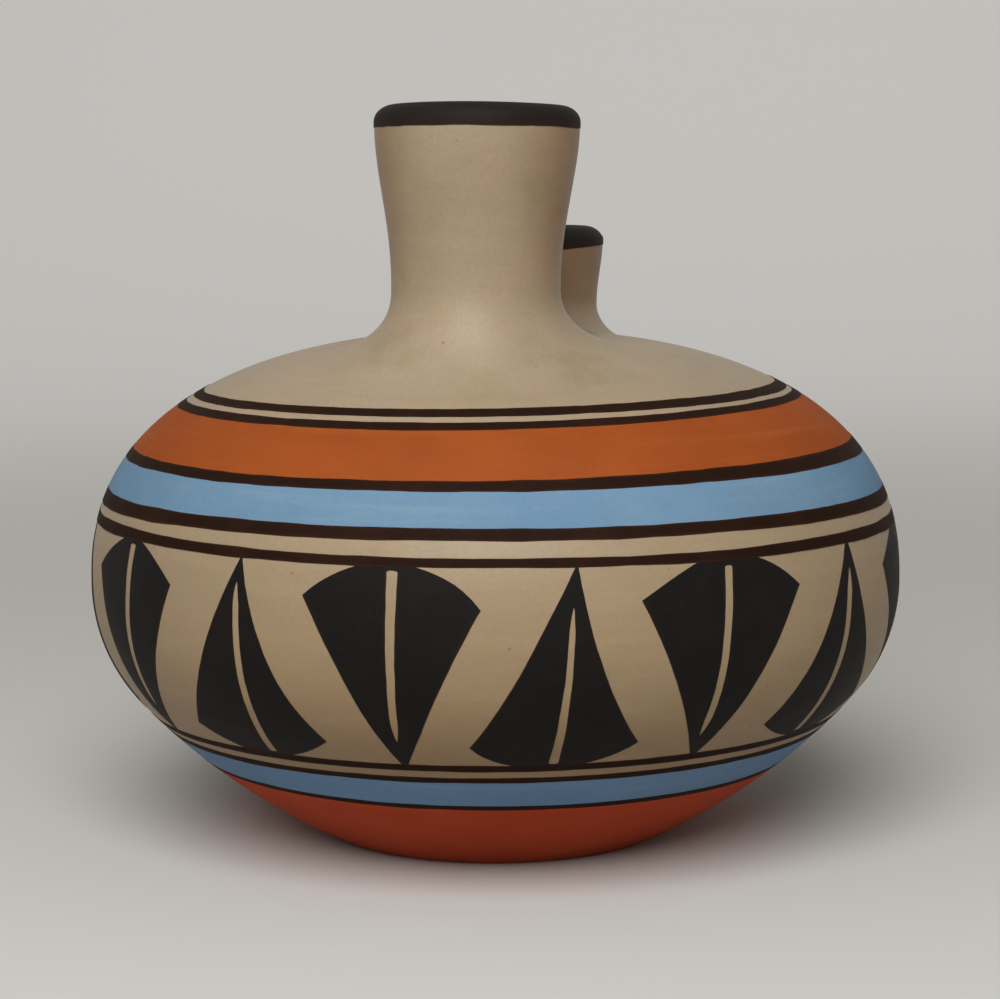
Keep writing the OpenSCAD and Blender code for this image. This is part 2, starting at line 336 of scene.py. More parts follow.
def turning_tree():
    """Turns a profile about the pot's axis or a spout's. Its rows may tilt, bow, wander and swell."""
    tree = Shaping("turned_round")
    profile = tree.shape()
    steps = tree.given("Steps", "Int")
    names = ("Axis X", "Axis Y", "Lean", "Upright Z", "Wander", "Swell", "Seed")
    axis_x, axis_y, lean, upright_z, wander, swell, seed = [tree.given(name, "Float") for name in names]
    count = tree.node("GeometryNodeAttributeDomainSize", {"component": "MESH"}, {"Geometry": profile})
    size = {"Size X": 1.0, "Size Y": 1.0, "Vertices X": steps + 1, "Vertices Y": count}
    sheet = tree.node("GeometryNodeMeshGrid", {}, size)
    across, down, _ = tree.place().parts()
    angle = (across + 0.5) * math.tau
    row = ((down + 0.5) * (count - 1)).rounded()
    radius, _, height = tree.sample(profile, tree.place(), row, "FLOAT_VECTOR").parts()
    out, _, up = tree.sample(profile, tree.attribute("along", "FLOAT_VECTOR"), row, "FLOAT_VECTOR").parts()
    marks = ("edge", "tilt", "bow")
    edge, tilt, bow = [tree.sample(profile, tree.attribute(name), row) for name in marks]
    slow = tree.noise(tree.vector(angle.cos(), angle.sin(), seed), scale=2.2, detail=1.0)
    quick = tree.noise(tree.vector(angle.cos(), angle.sin(), seed + 7.0), scale=9.0)
    slide = (slow - 0.5) * wander + (quick - 0.5) * edge * swell + (tilt + bow * angle.sin()) * angle.sin()
    radius = radius + out * slide
    height = height + up * slide
    axis_x = axis_x + lean * (height - upright_z)
    place = tree.vector(axis_x + radius * angle.sin(), axis_y - radius * angle.cos(), height)
    marked = tree.node(
        "GeometryNodeStoreNamedAttribute",
        {"data_type": "FLOAT", "domain": "POINT"},
        {"Geometry": sheet, "Name": "edge", "Value": edge},
    )
    return tree.end(tree.merged(tree.put(marked, place)))


def cutting_tree():
    """Takes one closed shape out of another."""
    tree = Shaping("cut_away")
    cutter = tree.from_object(tree.given("Cutter", "Object"))
    shapes = {"Mesh 1": tree.shape(), "Mesh 2": cutter}
    exact = {"operation": "DIFFERENCE", "solver": "EXACT"}
    return tree.end(tree.node("GeometryNodeMeshBoolean", exact, shapes))


def wrapping_tree():
    """Lays flat feathers on the wall, each with its own turn, lean, stretch and slant."""
    tree = Shaping("feathers_on_wall")
    wall_line = tree.from_object(tree.given("Wall", "Object"))
    wall = tree.node("GeometryNodeMeshToCurve", {}, {"Mesh": wall_line})
    names = ("Frieze Middle", "Tremor", "Seed")
    middle, tremor, seed = [tree.given(name, "Float") for name in names]
    across, reach, height = tree.place().parts()
    turn = tree.attribute("turn")
    in_mm = 1000.0
    apart = 9.0
    spot = tree.vector(across * in_mm, reach * in_mm, turn * apart + seed)
    shake = tree.noise(spot, scale=0.12) - 0.5
    sway = tree.attribute("lean") * (reach - middle)
    reach = reach + tree.attribute("slant") * across
    across = across * tree.attribute("stretch") + sway + shake * tremor

    def at_reach(out):
        values = {"Curves": wall, "Length": reach}
        return tree.node("GeometryNodeSampleCurve", {"mode": "LENGTH"}, values, out=out)

    radius, _, up = at_reach("Position").parts()
    along_r, _, along_z = at_reach("Tangent").parts()
    angle = turn + (across / radius).asin()
    radius = radius + along_z * height
    up = up - along_r * height
    place = tree.vector(radius * angle.sin(), radius * angle.cos() * -1.0, up)
    return tree.end(tree.put(tree.shape(), place))


# Finishes

def linear(red, green, blue):
    """Linear colour from the 0 to 255 values that a screen shows."""
    def one(value):
        value = value / 255
        return value / 12.92 if value <= 0.04045 else ((value + 0.055) / 1.055) ** 2.4
    return (one(red), one(green), one(blue), 1.0)


class Finish(Tree):
    """A fired surface: one Principled shader fed by expressions in Object coordinates."""

    def __init__(self, name, sheen=0.2):
        self.material = bpy.data.materials.new(name)
        self.material.use_nodes = True
        super().__init__(self.material.node_tree)
        self.shader = self.nodes.nodes["Principled BSDF"]
        self.shader.inputs["Specular IOR Level"].default_value = sheen
        self.here = self.node("ShaderNodeTexCoord", out="Object")

    def stretched(self, around, up):
        """Place whose noise runs in long strokes round the pot."""
        scale = {"operation": "MULTIPLY"}
        return self.node("ShaderNodeVectorMath", scale, {0: self.here, 1: (around, around, up)})

    def mixed(self, amount, first, second):
        """A colour between two. A Mix node takes colours at inputs 6 and 7 and gives one at output 2."""
        made = self.nodes.nodes.new("ShaderNodeMix")
        made.data_type = "RGBA"
        self.feed(made.inputs[0], amount)
        self.feed(made.inputs[6], first)
        self.feed(made.inputs[7], second)
        return Value(self, made.outputs[2])

    def edge(self):
        """From -1 to 1 across a painted line."""
        return self.node("ShaderNodeAttribute", {"attribute_name": "edge"}, out="Fac")

    def done(self, colour, roughness, height, distance, strength=0.5):
        bump = {"Height": height, "Distance": distance, "Strength": strength}
        self.feed(self.shader.inputs["Base Color"], colour)
        self.feed(self.shader.inputs["Roughness"], roughness)
        self.feed(self.shader.inputs["Normal"], self.node("ShaderNodeBump", {}, bump))
        return self.material


def clay_finish():
    """Fired buff clay, wiped smooth: soft patches and smudges, grit and specks, darker and warmer low down.

    Painted shade makes the spouts' left and right sides, as seen from the front, browner and darker,
    all of the short spout browner, and the dome a little darker.
    """
    clay = Finish("fired_clay", sheen=0.23)
    patch = clay.noise(clay.here, scale=17.0, detail=3.0, roughness=0.55)
    blush = clay.noise(clay.here, scale=46.0, detail=4.0, roughness=0.6)
    grit = clay.noise(clay.here, scale=1150.0, detail=3.0, roughness=0.6)
    wiped = clay.noise(clay.stretched(around=34.0, up=330.0), detail=4.0, roughness=0.65)
    smudge = clay.noise(clay.stretched(around=52.0, up=95.0), detail=5.0, roughness=0.65)
    speck = clay.step(clay.noise(clay.here, scale=330.0), 0.745, 0.8)
    x, y, z = clay.here.parts()
    level = z + (patch - 0.5) * 0.03
    on_spouts = clay.step(z, 0.13, 0.145)
    # Painted shade: the left and right sides of the spouts, as seen from the front
    aside = clay.step(abs(x + 0.6 * MM), 10 * MM, 23 * MM)
    # Painted shade: all of the short spout, which stands in the tall one's shade
    short_spout_painted_shade = clay.step(y, 10 * MM, 16 * MM) * clay.step(z, 0.124, 0.132)
    # Painted shade: the dome a little darker, where the lamp lights it most
    dome_painted_shade = clay.step(level, 0.135, 0.115)
    # Darker and warmer towards the bottom, and more so near the foot
    low = clay.step(level, 0.105, 0.05)
    near_foot = clay.step(level, 0.06, 0.03)
    colour = clay.mixed(clay.step(patch, 0.3, 0.7), linear(161, 144, 117), linear(171, 152, 126))
    colour = clay.mixed(clay.step(blush, 0.42, 0.72) * 0.5, colour, linear(178, 151, 127))
    colour = clay.mixed(clay.step(blush, 0.5, 0.24) * 0.45, colour, linear(150, 139, 108))
    # Painted shade on the dome
    colour = clay.mixed(dome_painted_shade * 0.25, colour, linear(150, 134, 112))
    colour = clay.mixed(low * 0.7, colour, linear(160, 135, 100))
    colour = clay.mixed(near_foot * 0.35, colour, linear(150, 112, 72))
    colour = clay.mixed(clay.step(grit, 0.35, 0.68) * 0.22, colour, linear(140, 121, 97))
    colour = clay.mixed(clay.step(wiped, 0.45, 0.8) * 0.16, colour, linear(186, 168, 143))
    colour = clay.mixed(clay.step(smudge, 0.53, 0.76) * 0.32, colour, linear(142, 116, 86))
    # Painted shade, browner and darker, on the spouts' left and right sides
    colour = clay.mixed(aside * on_spouts * (0.22 + smudge * 0.46), colour, linear(145, 104, 70))
    # Painted shade: all of the short spout browner
    colour = clay.mixed(short_spout_painted_shade * 0.4, colour, linear(132, 92, 58))
    colour = clay.mixed(speck * 0.55, colour, linear(110, 84, 62))
    roughness = 0.41 + (patch - 0.5) * 0.1 + (grit - 0.5) * 0.08
    height = grit * 0.7 + wiped * 0.25 + blush * 0.8
    return clay.done(colour, roughness, height, distance=0.12 * MM, strength=0.45)


def coat_finish(name, thin, full, thick, grey):
    """A brushed coat of coloured slip: long strokes, thin places and fine grit."""
    coat = Finish(name)
    cloud = coat.noise(coat.here, scale=38.0, detail=4.0, roughness=0.6)
    stroke = coat.noise(coat.stretched(around=17.0, up=460.0), detail=3.0, roughness=0.6)
    grit = coat.noise(coat.here, scale=1100.0, detail=3.0, roughness=0.6)
    colour = coat.mixed(coat.step(cloud, 0.3, 0.72), full, thick)
    colour = coat.mixed(coat.step(stroke, 0.5, 0.8) * 0.5, colour, thin)
    colour = coat.mixed(coat.step(grit, 0.42, 0.75) * 0.2, colour, grey)
    rubbed = coat.step(abs(coat.edge()), 0.82, 1.0)
    colour = coat.mixed(rubbed * 0.3, colour, thin)
    roughness = 0.72 + (cloud - 0.5) * 0.2 + (grit - 0.5) * 0.1
    height = stroke * 0.6 + grit * 0.6 + cloud * 0.6
    return coat.done(colour, roughness, height, distance=0.1 * MM, strength=0.4)


def black_finish(name, full, brown_edge, brown_cloud, sheen=0.14):
    """Black slip: dense and matte, brown where it lies thin."""
    black = Finish(name, sheen)
    cloud = black.noise(black.here, scale=70.0, detail=4.0, roughness=0.6)
    stroke = black.noise(black.stretched(around=30.0, up=700.0), detail=3.0, roughness=0.6)
    grit = black.noise(black.here, scale=1100.0, detail=3.0, roughness=0.6)
    thin = black.step(cloud, 0.45, 0.8) * brown_cloud
    thin = thin + black.step(abs(black.edge()) + (stroke - 0.5) * 0.5, 0.55, 1.05) * brown_edge
    colour = black.mixed(thin, full, linear(56, 33, 24))
    colour = black.mixed(black.step(grit, 0.5, 0.8) * 0.25, colour, linear(42, 38, 35))
    roughness = 0.66 + (cloud - 0.5) * 0.2 + (stroke - 0.5) * 0.12
    height = stroke * 0.5 + grit * 0.6 + cloud * 0.6
    return black.done(colour, roughness, height, distance=0.1 * MM, strength=0.4)


fired_clay = clay_finish()
orange_slip = coat_finish(
    "orange_slip",
    thin=linear(166, 91, 35),
    full=linear(157, 76, 25),
    thick=linear(149, 69, 22),
    grey=linear(123, 60, 24),
)
blue_slip = coat_finish(
    "blue_slip",
    thin=linear(130, 157, 174),
    full=linear(112, 144, 170),
    thick=linear(104, 137, 165),
    grey=linear(90, 116, 137),
)
# Painted light: a brighter, bluer copy of the blue slip for the lower band, which lies in shade under the
# belly
deep_blue_slip = coat_finish(
    "deep_blue_slip",
    thin=linear(136, 165, 193),
    full=linear(118, 152, 188),
    thick=linear(110, 145, 183),
    grey=linear(95, 123, 152),
)
terracotta_slip = coat_finish(
    "terracotta_slip",
    thin=linear(201, 82, 38),
    full=linear(193, 71, 30),
    thick=linear(185, 65, 26),
    grey=linear(150, 56, 26),
)
black_line_slip = black_finish(
    "black_line_slip",
    linear(36, 20, 12),
    brown_edge=0.6,
    brown_cloud=0.5,
    sheen=0.05,
)
black_figure_slip = black_finish("black_figure_slip", linear(17, 15, 13), brown_edge=0.35, brown_cloud=0.15)
black_lip_slip = black_finish("black_lip_slip", linear(27, 23, 20), brown_edge=0.35, brown_cloud=0.2)


# The pot's wall, from the edge of the foot to the top of the dome

def wall_curve():
    """Close points of the wall, closest above the belly, and the length along it at each of them."""
    turn_centre = Vector((belly_r - belly_turn_r, belly_z))
    outward = Vector((math.cos(belly_turn), -math.sin(belly_turn)))
    turn_end = turn_centre + belly_turn_r * outward
    to_foot = Vector((foot_r, 0)) - turn_end
    lower_r = -to_foot.length_squared / (2 * to_foot.dot(outward))
    lower_centre = turn_end - lower_r * outward
    foot_angle = math.atan2(-lower_centre.y, foot_r - lower_centre.x)
    lower_points = 240
    turn_points = 120
    dome_points = 600
    crowding = 1.4
    points = []
    for i in range(lower_points):
        angle = foot_angle + (-belly_turn - foot_angle) * i / lower_points
        points.append(lower_centre + lower_r * Vector((math.cos(angle), math.sin(angle))))
    for i in range(turn_points):
        angle = -belly_turn * (1 - i / turn_points)
        points.append(turn_centre + belly_turn_r * Vector((math.cos(angle), math.sin(angle))))
    for i in range(dome_points):
        angle = math.pi / 2 * (i / dome_points) ** crowding
        power = 2 / shoulder_fullness
        rise = dome_rise * math.sin(angle) ** power
        points.append(Vector((belly_r * math.cos(angle) ** power, belly_z + rise)))
    points.append(Vector((0, dome_top)))
    lengths = [0.0]
    for before, after in zip(points, points[1:]):
        lengths.append(lengths[-1] + (after - before).length)
    return points, lengths


wall_path, wall_lengths = wall_curve()
wall_length = wall_lengths[-1]


def on_wall(reach, height=0.0):
    """Point at this length along the wall, lifted off it by height."""
    i = min(max(bisect.bisect_right(wall_lengths, reach) - 1, 0), len(wall_path) - 2)
    along = wall_path[i + 1] - wall_path[i]
    share = (reach - wall_lengths[i]) / along.length
    direction = along.normalized()
    return wall_path[i] + along * share + height * Vector((direction.y, -direction.x))


def along_wall(reach):
    """Direction of the wall there, upwards."""
    nearby = 0.2 * MM
    return (on_wall(reach + nearby) - on_wall(reach - nearby)).normalized()


def dome_z(x, y):
    """Height of the dome over this place."""
    share = min(math.hypot(x, y) / belly_r, 1.0) ** shoulder_fullness
    return belly_z + dome_rise * (1 - share) ** (1 / shoulder_fullness)


# Making pieces

def add(name, mesh):
    made = bpy.data.objects.new(name, mesh)
    bpy.context.scene.collection.objects.link(made)
    return made


def mesh_of(name, points, edges=(), faces=()):
    mesh = bpy.data.meshes.new(name)
    mesh.from_pydata([tuple(p) for p in points], list(edges), list(faces))
    return mesh


def shaped(name, start, tree, inputs):
    """The plain mesh that a tree makes from a start mesh. Inputs go in by name before it is evaluated."""
    maker = add(name + "_maker", start)
    modifier = maker.modifiers.new("shape", "NODES")
    modifier.node_group = tree
    for item in tree.interface.items_tree:
        if item.item_type == "SOCKET" and item.in_out == "INPUT" and item.name in inputs:
            modifier[item.identifier] = inputs[item.name]
    graph = bpy.context.evaluated_depsgraph_get()
    made = bpy.data.meshes.new_from_object(maker.evaluated_get(graph))
    made.name = name
    maker.modifiers.remove(modifier)
    bpy.data.objects.remove(maker)
    return made


def closed(mesh, crease=math.radians(40)):
    """Doubles merged, faces turned outwards, and edges sharper than the crease kept sharp."""
    work = bmesh.new()
    work.from_mesh(mesh)
    bmesh.ops.remove_doubles(work, verts=work.verts, dist=weld)
    bmesh.ops.recalc_face_normals(work, faces=work.faces)
    for face in work.faces:
        face.smooth = True
    work.to_mesh(mesh)
    work.free()
    mesh.set_sharp_from_angle(angle=crease)
    return mesh


def profile_mesh(name, points, along=None, **values):
    """Points of a profile in their order, with the direction and values that a painted row moves by."""
    count = len(points)
    mesh = mesh_of(name, [(p[0], 0, p[1]) for p in points], [(i, i + 1) for i in range(count - 1)])
    along = along or [Vector((0, 0))] * count
    mark(mesh, "along", "vector", [(way.x, 0, way.y) for way in along])
    for value in ("edge", "tilt", "bow"):
        mark(mesh, value, "value", values.get(value, [0.0] * count))
    return mesh


def mark(mesh, name, kind, values):
    """Stores one number or vector for each point of a mesh."""
    mesh.attributes.new(name, "FLOAT_VECTOR" if kind == "vector" else "FLOAT", "POINT")
    for i, value in enumerate(values):
        setattr(mesh.attributes[name].data[i], kind, value)


turned_round = turning_tree()
cut_away = cutting_tree()
feathers_on_wall = wrapping_tree()


def turned(name, mesh, finish, steps, spout=None, wander=0.0, swell=0.0, seed=0.0):
    """A profile turned about the pot's axis, or about a spout's with its shift and lean."""
    spout = spout or {"shift": 0.0, "y": 0.0, "lean": 0.0, "upright_z": 0.0}
    inputs = {
        "Steps": steps,
        "Axis X": spout["shift"],
        "Axis Y": spout["y"],
        "Lean": spout["lean"],
        "Upright Z": spout["upright_z"],
        "Wander": wander,
        "Swell": swell,
        "Seed": seed,
        "Finish": finish,
    }
    return shaped(name, mesh, turned_round, inputs)


def cut(name, mesh, cutter):
    """A clay mesh with the cutter's shape taken out of it."""
    return shaped(name, mesh, cut_away, {"Cutter": cutter, "Finish": fired_clay})


def piece(name, mesh, nodes=()):
    """A finished piece of the vase, which stands for the CAD nodes given or for the one of its own name."""
    made = add(name + "_fired", mesh)
    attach(made, "root")
    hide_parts(*(nodes or (name,)))
    return made


def steps_between(low, high, size):
    """Even steps from low to high, each no longer than size."""
    count = max(2, math.ceil((high - low) / size))
    return [low + (high - low) * i / count for i in range(count + 1)]


# Clay pieces

def pot_hollow():
    """The hollow of the pot, one wall's thickness inside its outer surface."""
    corner = 1 * MM
    inside = [Vector((0, floor_t))]
    for reach in steps_between(0, wall_length, hollow_row)[:-1]:
        point = on_wall(reach, -wall_t)
        if point.y > floor_t and point.x > 0:
            inside.append(point)
    inside.append(Vector((0, dome_top - wall_t)))
    inside.insert(1, Vector((inside[1].x - corner, floor_t)))
    return add("hollow", closed(turned("hollow", profile_mesh("inside", inside), fired_clay, hollow_sides)))


def spout_hole(spout):
    """The hole in the dome for a spout's foot, a little under the spout's size so that they overlap."""
    r = spout["waist_r"] - hole_lap
    spare = 20 * MM
    low = spout["bottom"] - spare
    high = dome_top + spare
    side = [Vector((0, low)), Vector((r, low)), Vector((r, high)), Vector((0, high))]
    return add("hole", closed(turned("hole", profile_mesh("hole", side), fired_clay, hole_sides, spout)))


def pot(cutters):
    """The thrown pot: flat foot with a softened edge, hollow inside, open under each spout.

    The holes are cut before the hollow, so that the mesh is one connected skin after every cut.
    """
    round_parts = 4
    start = Vector((foot_r - foot_round, 0))
    corner = Vector((foot_r, 0))
    end = on_wall(foot_round)
    outside = [Vector((0, 0)), Vector((foot_r / 2, 0)), start]
    for i in range(1, round_parts):
        share = i / round_parts
        outside.append((1 - share) ** 2 * start + 2 * share * (1 - share) * corner + share ** 2 * end)
    outside += [on_wall(reach) for reach in steps_between(foot_round, wall_length, pot_row)[:-1]]
    outside.append(Vector((0, dome_top)))
    mesh = closed(turned("pot", profile_mesh("outside", outside), fired_clay, pot_sides))
    for cutter in cutters:
        mesh = closed(cut("pot", mesh, cutter))
    return piece("pot", mesh, ("pot_bowl", "pot_dome"))


def clamped(share):
    return min(max(share, 0.0), 1.0)


def axis_x(spout, z):
    """Where a spout's axis lies at this height, with its shift and lean."""
    return spout["shift"] + spout["lean"] * (z - spout["upright_z"])


def spout_r(spout, z):
    """Outer radius of a spout at this height: narrow at the waist, flaring to the mouth."""
    share = (z - spout["waist_z"]) / (spout["top"] - lip_round_h - spout["waist_z"])
    share = clamped(share) ** flare_bend
    return spout["waist_r"] + (mouth_r - spout["waist_r"]) * (3 * share ** 2 - 2 * share ** 3)


def spout_section(spout):
    """Outline of a spout's wall, from its foot up outside, over the lip and down inside."""
    under_dome = 4 * MM
    outer_parts = 12
    inner_parts = 6
    top = spout["top"]
    start = dome_top - under_dome
    rows = [spout["bottom"]] + steps_between(start, top - lip_round_h, spout_row)
    points = [Vector((spout_r(spout, z), z)) for z in rows]
    for i in range(1, outer_parts + 1):
        angle = math.pi / 2 * i / outer_parts
        out = mouth_r - lip_round_w * (1 - math.cos(angle))
        points.append(Vector((out, top - lip_round_h * (1 - math.sin(angle)))))
    for i in range(1, inner_parts + 1):
        angle = math.pi / 2 * i / inner_parts
        out = mouth_r - lip_round_w - lip_inner_w * math.sin(angle)
        points.append(Vector((out, top - lip_inner_h * (1 - math.cos(angle)))))
    down = [spout["bottom"]] + steps_between(start, top - lip_inner_h, throat_row)[:-1]
    points += [Vector((spout_r(spout, z) - spout_wall_t, z)) for z in reversed(down)]
    return points


def settle_lip(mesh, spout):
    """Sinks a lip towards its sides, more to the right than to the left, as a hand leaves it."""
    more_right, both = spout["lip_sink"]
    for point in mesh.vertices:
        below = (spout["top"] - point.co.z - lip_even) / (lip_fade - lip_even)
        share = 1 - clamped(below)
        out = Vector((point.co.x - axis_x(spout, point.co.z), point.co.y - spout["y"])).normalized()
        point.co.z -= share * (more_right * out.x + both * out.x ** 2)


def spout_piece(spout):
    """A spout whose foot goes through the dome and ends level with the dome's inside."""
    section = spout_section(spout)
    profile = profile_mesh("section", section + section[:1])
    mesh = turned(spout["name"], profile, fired_clay, spout_sides, spout)
    close = 0.01 * MM
    for point in mesh.vertices:
        if point.co.z < spout["bottom"] + close:
            point.co.z = dome_z(point.co.x, point.co.y) - wall_t
    settle_lip(mesh, spout)
    return piece(spout["name"], closed(mesh))


def coil_section(spout, angle):
    """Hollow curve from the spout's wall down to the dome at this angle, then back inside the clay."""
    out = Vector((math.sin(angle), -math.cos(angle)))
    axis = Vector((axis_x(spout, dome_top), spout["y"]))
    hidden_toe = Vector((-0.3 * MM, -1 * MM))
    hidden_corner = Vector((-1.2 * MM, -1.5 * MM))
    hidden_crest = Vector((-1 * MM, -0.3 * MM))
    little = 1 * MM
    curve_parts = 24

    def dome_at(reach):
        place = axis + out * reach
        return dome_z(place.x, place.y)

    aside = math.sin(angle) ** 2
    pairs = zip(spout["coil_front"], spout["coil_side"])
    height, width, wall_pull, dome_pull = [front + (side - front) * aside for front, side in pairs]
    foot_z = dome_at(spout["waist_r"])
    crest_z = foot_z + height
    crest = Vector((spout_r(spout, crest_z), crest_z))
    toe_reach = spout["waist_r"] + width
    toe = Vector((toe_reach, dome_at(toe_reach)))
    wall_way = Vector((spout_r(spout, crest_z - little) - crest.x, -little)).normalized()
    dome_way = Vector((-little, dome_at(toe_reach - little) - toe.y)).normalized()
    below = crest + wall_way * wall_pull * height
    beside = toe + dome_way * dome_pull * width
    section = []
    for i in range(curve_parts + 1):
        t = i / curve_parts
        falling = (1 - t) ** 3 * crest + 3 * t * (1 - t) ** 2 * below
        section.append(falling + 3 * t ** 2 * (1 - t) * beside + t ** 3 * toe)
    section.append(toe + hidden_toe)
    section.append(Vector((spout["waist_r"], foot_z)) + hidden_corner)
    section.append(crest + hidden_crest)
    return [(axis_x(spout, p.y) + p.x * out.x, axis.y + p.x * out.y, p.y) for p in section]


def coil_piece(spout):
    """The coil of clay worked into the corner between a spout and the dome."""
    rings = [coil_section(spout, math.tau * i / coil_sides) for i in range(coil_sides)]
    count = len(rings[0])
    faces = []
    for i in range(coil_sides):
        for j in range(count):
            k = (i + 1) % coil_sides
            m = (j + 1) % count
            faces.append((i * count + j, k * count + j, k * count + m, i * count + m))
    mesh = mesh_of(spout["name"] + "_coil", [p for ring in rings for p in ring], (), faces)
    mesh.materials.append(fired_clay)
    return piece(spout["name"] + "_coil", closed(mesh))


# Coats of slip

def band(name, high, low, height, paint, sway, wander=0.0, swell=0.0, seed=0.0):
    """A painted band between two lengths along the wall. Each edge has its own tilt and bow."""
    finish, slot = paint
    rows = steps_between(low, high, band_row)
    rows = rows + rows[::-1]
    lifts = [height] * (len(rows) // 2) + [-sunk] * (len(rows) // 2)
    loop = [on_wall(reach, lift) for reach, lift in zip(rows, lifts)]
    way = [along_wall(reach) for reach in rows]
    share = [(reach - low) / (high - low) for reach in rows]
    (top_tilt, top_bow), (foot_tilt, foot_bow) = sway
    profile = profile_mesh(
        name,
        loop + loop[:1],
        way + way[:1],
        edge=[2 * s - 1 for s in share + share[:1]],
        tilt=[(foot_tilt + (top_tilt - foot_tilt) * s) * MM for s in share + share[:1]],
        bow=[(foot_bow + (top_bow - foot_bow) * s) * MM for s in share + share[:1]],
    )
    mesh = turned(name, profile, finish, band_sides, None, wander, swell, seed)
    return piece(name, closed(mesh))


def lip_slip(spout, seed):
    """Black slip over a lip, down the outside, where its edge may tilt, and into the mouth."""
    section = spout_section(spout)
    low_out = spout["top"] - spout["lip_depth"]
    low_in = spout["top"] - lip_inside
    crown = max(range(len(section)), key=lambda i: section[i].y)
    kept = [p for i, p in enumerate(section) if p.y > (low_out if i <= crown else low_in)]
    kept = [Vector((spout_r(spout, low_out), low_out))] + kept
    kept = kept + [Vector((spout_r(spout, low_in) - spout_wall_t, low_in))]
    outer = []
    inner = []
    way = []
    for i, point in enumerate(kept):
        run = (kept[min(i + 1, len(kept) - 1)] - kept[max(i - 1, 0)]).normalized()
        normal = Vector((run.y, -run.x))
        outer.append(point + normal * line_t)
        inner.append(point - normal * sunk)
        way.append(run)
    side = [-1 + 2 * i / (len(kept) - 1) for i in range(len(kept))]
    fixed = [w * max(0.0, (abs(s) - lip_still) / (1 - lip_still)) for w, s in zip(way, side)]
    loop = outer + inner[::-1]
    ways = fixed + fixed[::-1]
    sides = side + side[::-1]
    sides = sides + sides[:1]
    tilts = [spout["lip_tilt"] if s < 0 else 0.0 for s in sides]
    profile = profile_mesh(spout["name"], loop + loop[:1], ways + ways[:1], edge=sides, tilt=tilts)
    name = spout["name"].replace("_spout", "_lip_slip")
    mesh = turned(name, profile, black_lip_slip, lip_sides, spout, lip_wander, lip_swell, seed)
    settle_lip(mesh, spout)
    return piece(name, closed(mesh))


def painted_bands():
    """Every line and band from the first line down to the foot. Colour runs on under the lines."""
    black = (black_line_slip, "black_slip")
    orange = (orange_slip, "orange_slip")
    blue = (blue_slip, "blue_slip")
    # The lower band takes the brighter copy of the blue, as painted light
    blue_painted_light = (deep_blue_slip, "blue_slip")
    terracotta = (terracotta_slip, "terracotta_slip")
    bare = None
    reach = wall_length - first_line_reach
    level = ((0.0, 0.0), (0.0, 0.0))
    stack = [
        ("shoulder_line_upper", first_line_w, black, ((1.4, 0.9), (1.15, 0.9))),
        ("pair_gap", pair_gap, bare, level),
        ("shoulder_line_lower", line_w, black, ((1.35, 1.4), (1.4, 1.4))),
        ("shoulder_orange_band", orange_w, orange, ((1.4, 1.4), (0.6, 0.8))),
        ("orange_blue_line", line_w, black, ((0.85, 1.2), (0.2, 0.3))),
        ("shoulder_blue_band", upper_blue_w, blue, ((0.5, 0.8), (-0.2, -0.6))),
        ("shoulder_blue_line", line_w, black, ((-0.3, -0.2), (-0.1, -1.1))),
        ("frieze_gap", frieze_gap, bare, level),
        ("frieze_top_line", frieze_line_w, black, ((-0.75, 0.3), (-0.7, -0.7))),
        ("frieze", frieze_w, bare, level),
        ("frieze_bottom_line", frieze_foot_w, black, ((0.2, -0.8), (0.1, -0.7))),
        ("lower_gap", lower_gap, bare, level),
        ("lower_line", lower_line_w, black, ((0.15, -0.5), (0.1, -0.5))),
        ("lower_blue_band", lower_blue_w, blue_painted_light, ((0.1, -0.5), (-0.8, 0.0))),
        ("lower_blue_line", lower_line_w, black, ((-0.7, 0.0), (-0.9, 0.0))),
        ("base_coat", wall_length, terracotta, ((-0.8, 0.0), (0.0, 0.0))),
    ]
    edges = {}
    for number, (name, width, paint, sway) in enumerate(stack):
        high = reach
        low = max(reach - width, foot_margin)
        reach = low
        edges[name] = (high, low)
        if paint == black:
            band(name, high, low, line_t, paint, sway, line_wander, line_swell, line_seed_step * number)
        elif paint:
            foot = 0.0 if name == "base_coat" else under_line
            band(name, high + under_line, low - foot, coat_t, paint, sway)
    return edges["frieze"]


def feather(
    turn,
    lean,
    stretch,
    slant=0.0,
    slit=(2.3, 0.75),
    ends=(7.0, 0.5),
    drift=(0.0, 0.0),
    hollow=(0.0, 0.0),
    flat=(0.0, 0.0),
):
    """One feather as the painter laid it: turn in degrees, then its lean, stretch and slant.

    The quill's slit has its width at the wide end and the share of it left at the tip, its distances from
    the tip and from the line, and its drift to the right at the tip and at the wide end, in millimetres.
    Its left and right sides are more hollow than its kind's by so many millimetres, its crown is flatter.
    """
    return {
        "hollow": (hollow[0] * MM, hollow[1] * MM),
        "flat": flat,
        "turn": turn,
        "lean": lean,
        "stretch": stretch,
        "slant": slant,
        "slit_w": slit[0] * MM,
        "slit_keep": slit[1],
        "slit_from": ends[0] * MM,
        "slit_to": ends[1] * MM,
        "drift": (drift[0] * MM, drift[1] * MM),
    }


